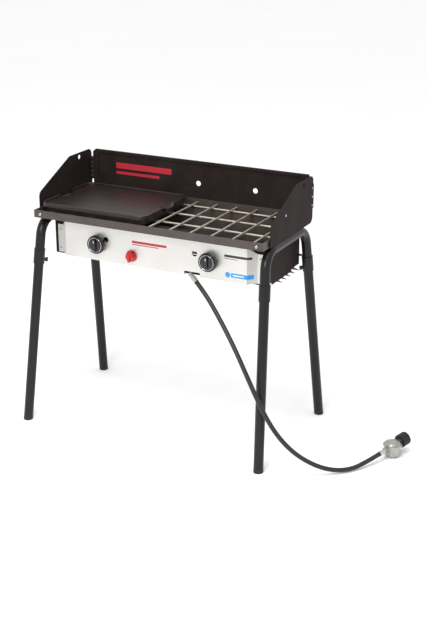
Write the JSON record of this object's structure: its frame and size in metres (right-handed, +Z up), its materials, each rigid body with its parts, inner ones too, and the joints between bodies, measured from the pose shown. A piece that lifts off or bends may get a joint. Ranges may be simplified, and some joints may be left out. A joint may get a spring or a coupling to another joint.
{
  "type": "camp stove",
  "caption": "Free-standing gas camp stove on splayed removable legs, with rod grate, cast griddle, folding windscreen, control panel, hose and regulator.",
  "frame": {"origin": "on the floor under the middle of the stove's footprint", "axes": "+X to the right as seen from the knobs, +Y from the knobs to the windscreen, +Z up"},
  "size_m": [1.2676, 0.5248, 0.859],
  "materials": {
    "black_coat": "satin powder coat",
    "rail_coat": "satin enamel",
    "brushed_panel": "brushed",
    "grate_rod": "satin",
    "cast_iron": "seasoned",
    "zinc_steel": "bright",
    "brass": "machined",
    "aluminium": "cast",
    "black_gloss": "gloss",
    "red_gloss": "gloss",
    "black_plastic": "matt",
    "rubber": "matt",
    "ceramic": "glazed"
  },
  "bodies": {
    "frame": {"bow_bolts": "zinc_steel", "box_back": "black_coat", "box_side_left": "black_coat", "box_side_right": "black_coat", "brace_straps": "black_coat", "burner_bar": "black_coat", "burner_left": "cast_iron", "burner_right": "cast_iron", "control_panel": "brushed_panel", "electrodes": "ceramic", "front_shelf": "black_coat", "gas_hose": "rubber", "gas_manifold": "zinc_steel", "grate_long_rods": "grate_rod", "grate_short_rods": "grate_rod", "hinge_back_leaves": "black_coat", "hinge_pins": "zinc_steel", "hose_ferrules": "zinc_steel", "hose_nut": "zinc_steel", "igniter_body": "black_plastic", "ignition_wires": "rubber", "leg_bow_left": "black_coat", "leg_bow_right": "black_coat", "louvre_shield": "black_coat", "orifices": "brass", "panel_screws": "zinc_steel", "rail_front": "rail_coat", "rail_left": "rail_coat", "rail_rear": "rail_coat", "rail_right": "rail_coat", "rail_screws": "zinc_steel", "regulator": "aluminium", "valves": "brass", "windscreen_back": "black_coat", "windscreen_screws": "zinc_steel"},
    "screen_left": {"windscreen_left": "black_coat", "hinge_side_leaf_left": "black_coat"},
    "knob_left": {"knob_left": "black_gloss", "valve_stem_left": "brass"},
    "air_shutter_left": {"air_shutter_left": "zinc_steel"},
    "screen_right": {"windscreen_right": "black_coat", "hinge_side_leaf_right": "black_coat"},
    "knob_right": {"knob_right": "black_gloss", "valve_stem_right": "brass"},
    "air_shutter_right": {"air_shutter_right": "zinc_steel"},
    "griddle": {"griddle": "cast_iron"},
    "leg_front_left": {"leg_front_left": "black_coat", "foot_plug_front_left": "black_plastic"},
    "thumbscrew_front_left": {"thumbscrew_front_left": "black_coat"},
    "leg_front_right": {"leg_front_right": "black_coat", "foot_plug_front_right": "black_plastic"},
    "thumbscrew_front_right": {"thumbscrew_front_right": "black_coat"},
    "leg_rear_left": {"leg_rear_left": "black_coat", "foot_plug_rear_left": "black_plastic"},
    "thumbscrew_rear_left": {"thumbscrew_rear_left": "black_coat"},
    "leg_rear_right": {"leg_rear_right": "black_coat", "foot_plug_rear_right": "black_plastic"},
    "thumbscrew_rear_right": {"thumbscrew_rear_right": "black_coat"},
    "igniter_knob": {"igniter_knob": "red_gloss"},
    "connector_nut": {"connector_nut": "black_plastic"}
  },
  "joints": [
    {"name": "screen_left_fold", "type": "hinge", "parent": "frame", "child": "screen_left", "pos_m": [-0.416, 0.1863, 0.79], "axis": [0, 0, 1], "range_deg": [-95, 0]},
    {"name": "knob_left_turn", "type": "hinge", "parent": "frame", "child": "knob_left", "pos_m": [-0.204, -0.13, 0.629], "axis": [0, -1, 0], "range_deg": [0, 240]},
    {"name": "air_shutter_left_turn", "type": "hinge", "parent": "frame", "child": "air_shutter_left", "pos_m": [-0.204, -0.075, 0.629], "axis": [0, 1, 0], "range_deg": [-40, 40]},
    {"name": "screen_right_fold", "type": "hinge", "parent": "frame", "child": "screen_right", "pos_m": [0.416, 0.1863, 0.79], "axis": [0, 0, 1], "range_deg": [0, 95]},
    {"name": "knob_right_turn", "type": "hinge", "parent": "frame", "child": "knob_right", "pos_m": [0.204, -0.13, 0.629], "axis": [0, -1, 0], "range_deg": [0, 240]},
    {"name": "air_shutter_right_turn", "type": "hinge", "parent": "frame", "child": "air_shutter_right", "pos_m": [0.204, -0.075, 0.629], "axis": [0, 1, 0], "range_deg": [-40, 40]},
    {"name": "griddle_lift", "type": "slide", "parent": "frame", "child": "griddle", "axis": [0, 0, 1], "range_m": [0, 0.15]},
    {"name": "leg_front_left_slide", "type": "slide", "parent": "frame", "child": "leg_front_left", "axis": [-0.0414, -0.1385, -0.9895], "range_m": [0, 0.06]},
    {"name": "thumbscrew_front_left_turn", "type": "hinge", "parent": "frame", "child": "thumbscrew_front_left", "pos_m": [-0.41254, -0.16856, 0.55641], "axis": [0.7076, 0.6951, -0.1269], "continuous": true},
    {"name": "leg_front_right_slide", "type": "slide", "parent": "frame", "child": "leg_front_right", "axis": [0.0414, -0.1385, -0.9895], "range_m": [0, 0.06]},
    {"name": "thumbscrew_front_right_turn", "type": "hinge", "parent": "frame", "child": "thumbscrew_front_right", "pos_m": [0.41254, -0.16856, 0.55641], "axis": [-0.7076, 0.6951, -0.1269], "continuous": true},
    {"name": "leg_rear_left_slide", "type": "slide", "parent": "frame", "child": "leg_rear_left", "axis": [-0.0414, 0.1385, -0.9895], "range_m": [0, 0.06]},
    {"name": "thumbscrew_rear_left_turn", "type": "hinge", "parent": "frame", "child": "thumbscrew_rear_left", "pos_m": [-0.41254, 0.16856, 0.55641], "axis": [0.7076, -0.6951, -0.1269], "continuous": true},
    {"name": "leg_rear_right_slide", "type": "slide", "parent": "frame", "child": "leg_rear_right", "axis": [0.0414, 0.1385, -0.9895], "range_m": [0, 0.06]},
    {"name": "thumbscrew_rear_right_turn", "type": "hinge", "parent": "frame", "child": "thumbscrew_rear_right", "pos_m": [0.41254, 0.16856, 0.55641], "axis": [-0.7076, -0.6951, -0.1269], "continuous": true},
    {"name": "igniter_turn", "type": "hinge", "parent": "frame", "child": "igniter_knob", "pos_m": [-0.08, -0.13, 0.604], "axis": [0, 1, 0], "range_deg": [0, 90], "stiffness_Nm_per_rad": 0.05},
    {"name": "connector_nut_turn", "type": "hinge", "parent": "frame", "child": "connector_nut", "pos_m": [0.78887, 0.09549, 0.0415], "axis": [0.3625, 0.9226, 0.1318], "continuous": true}
  ]
}
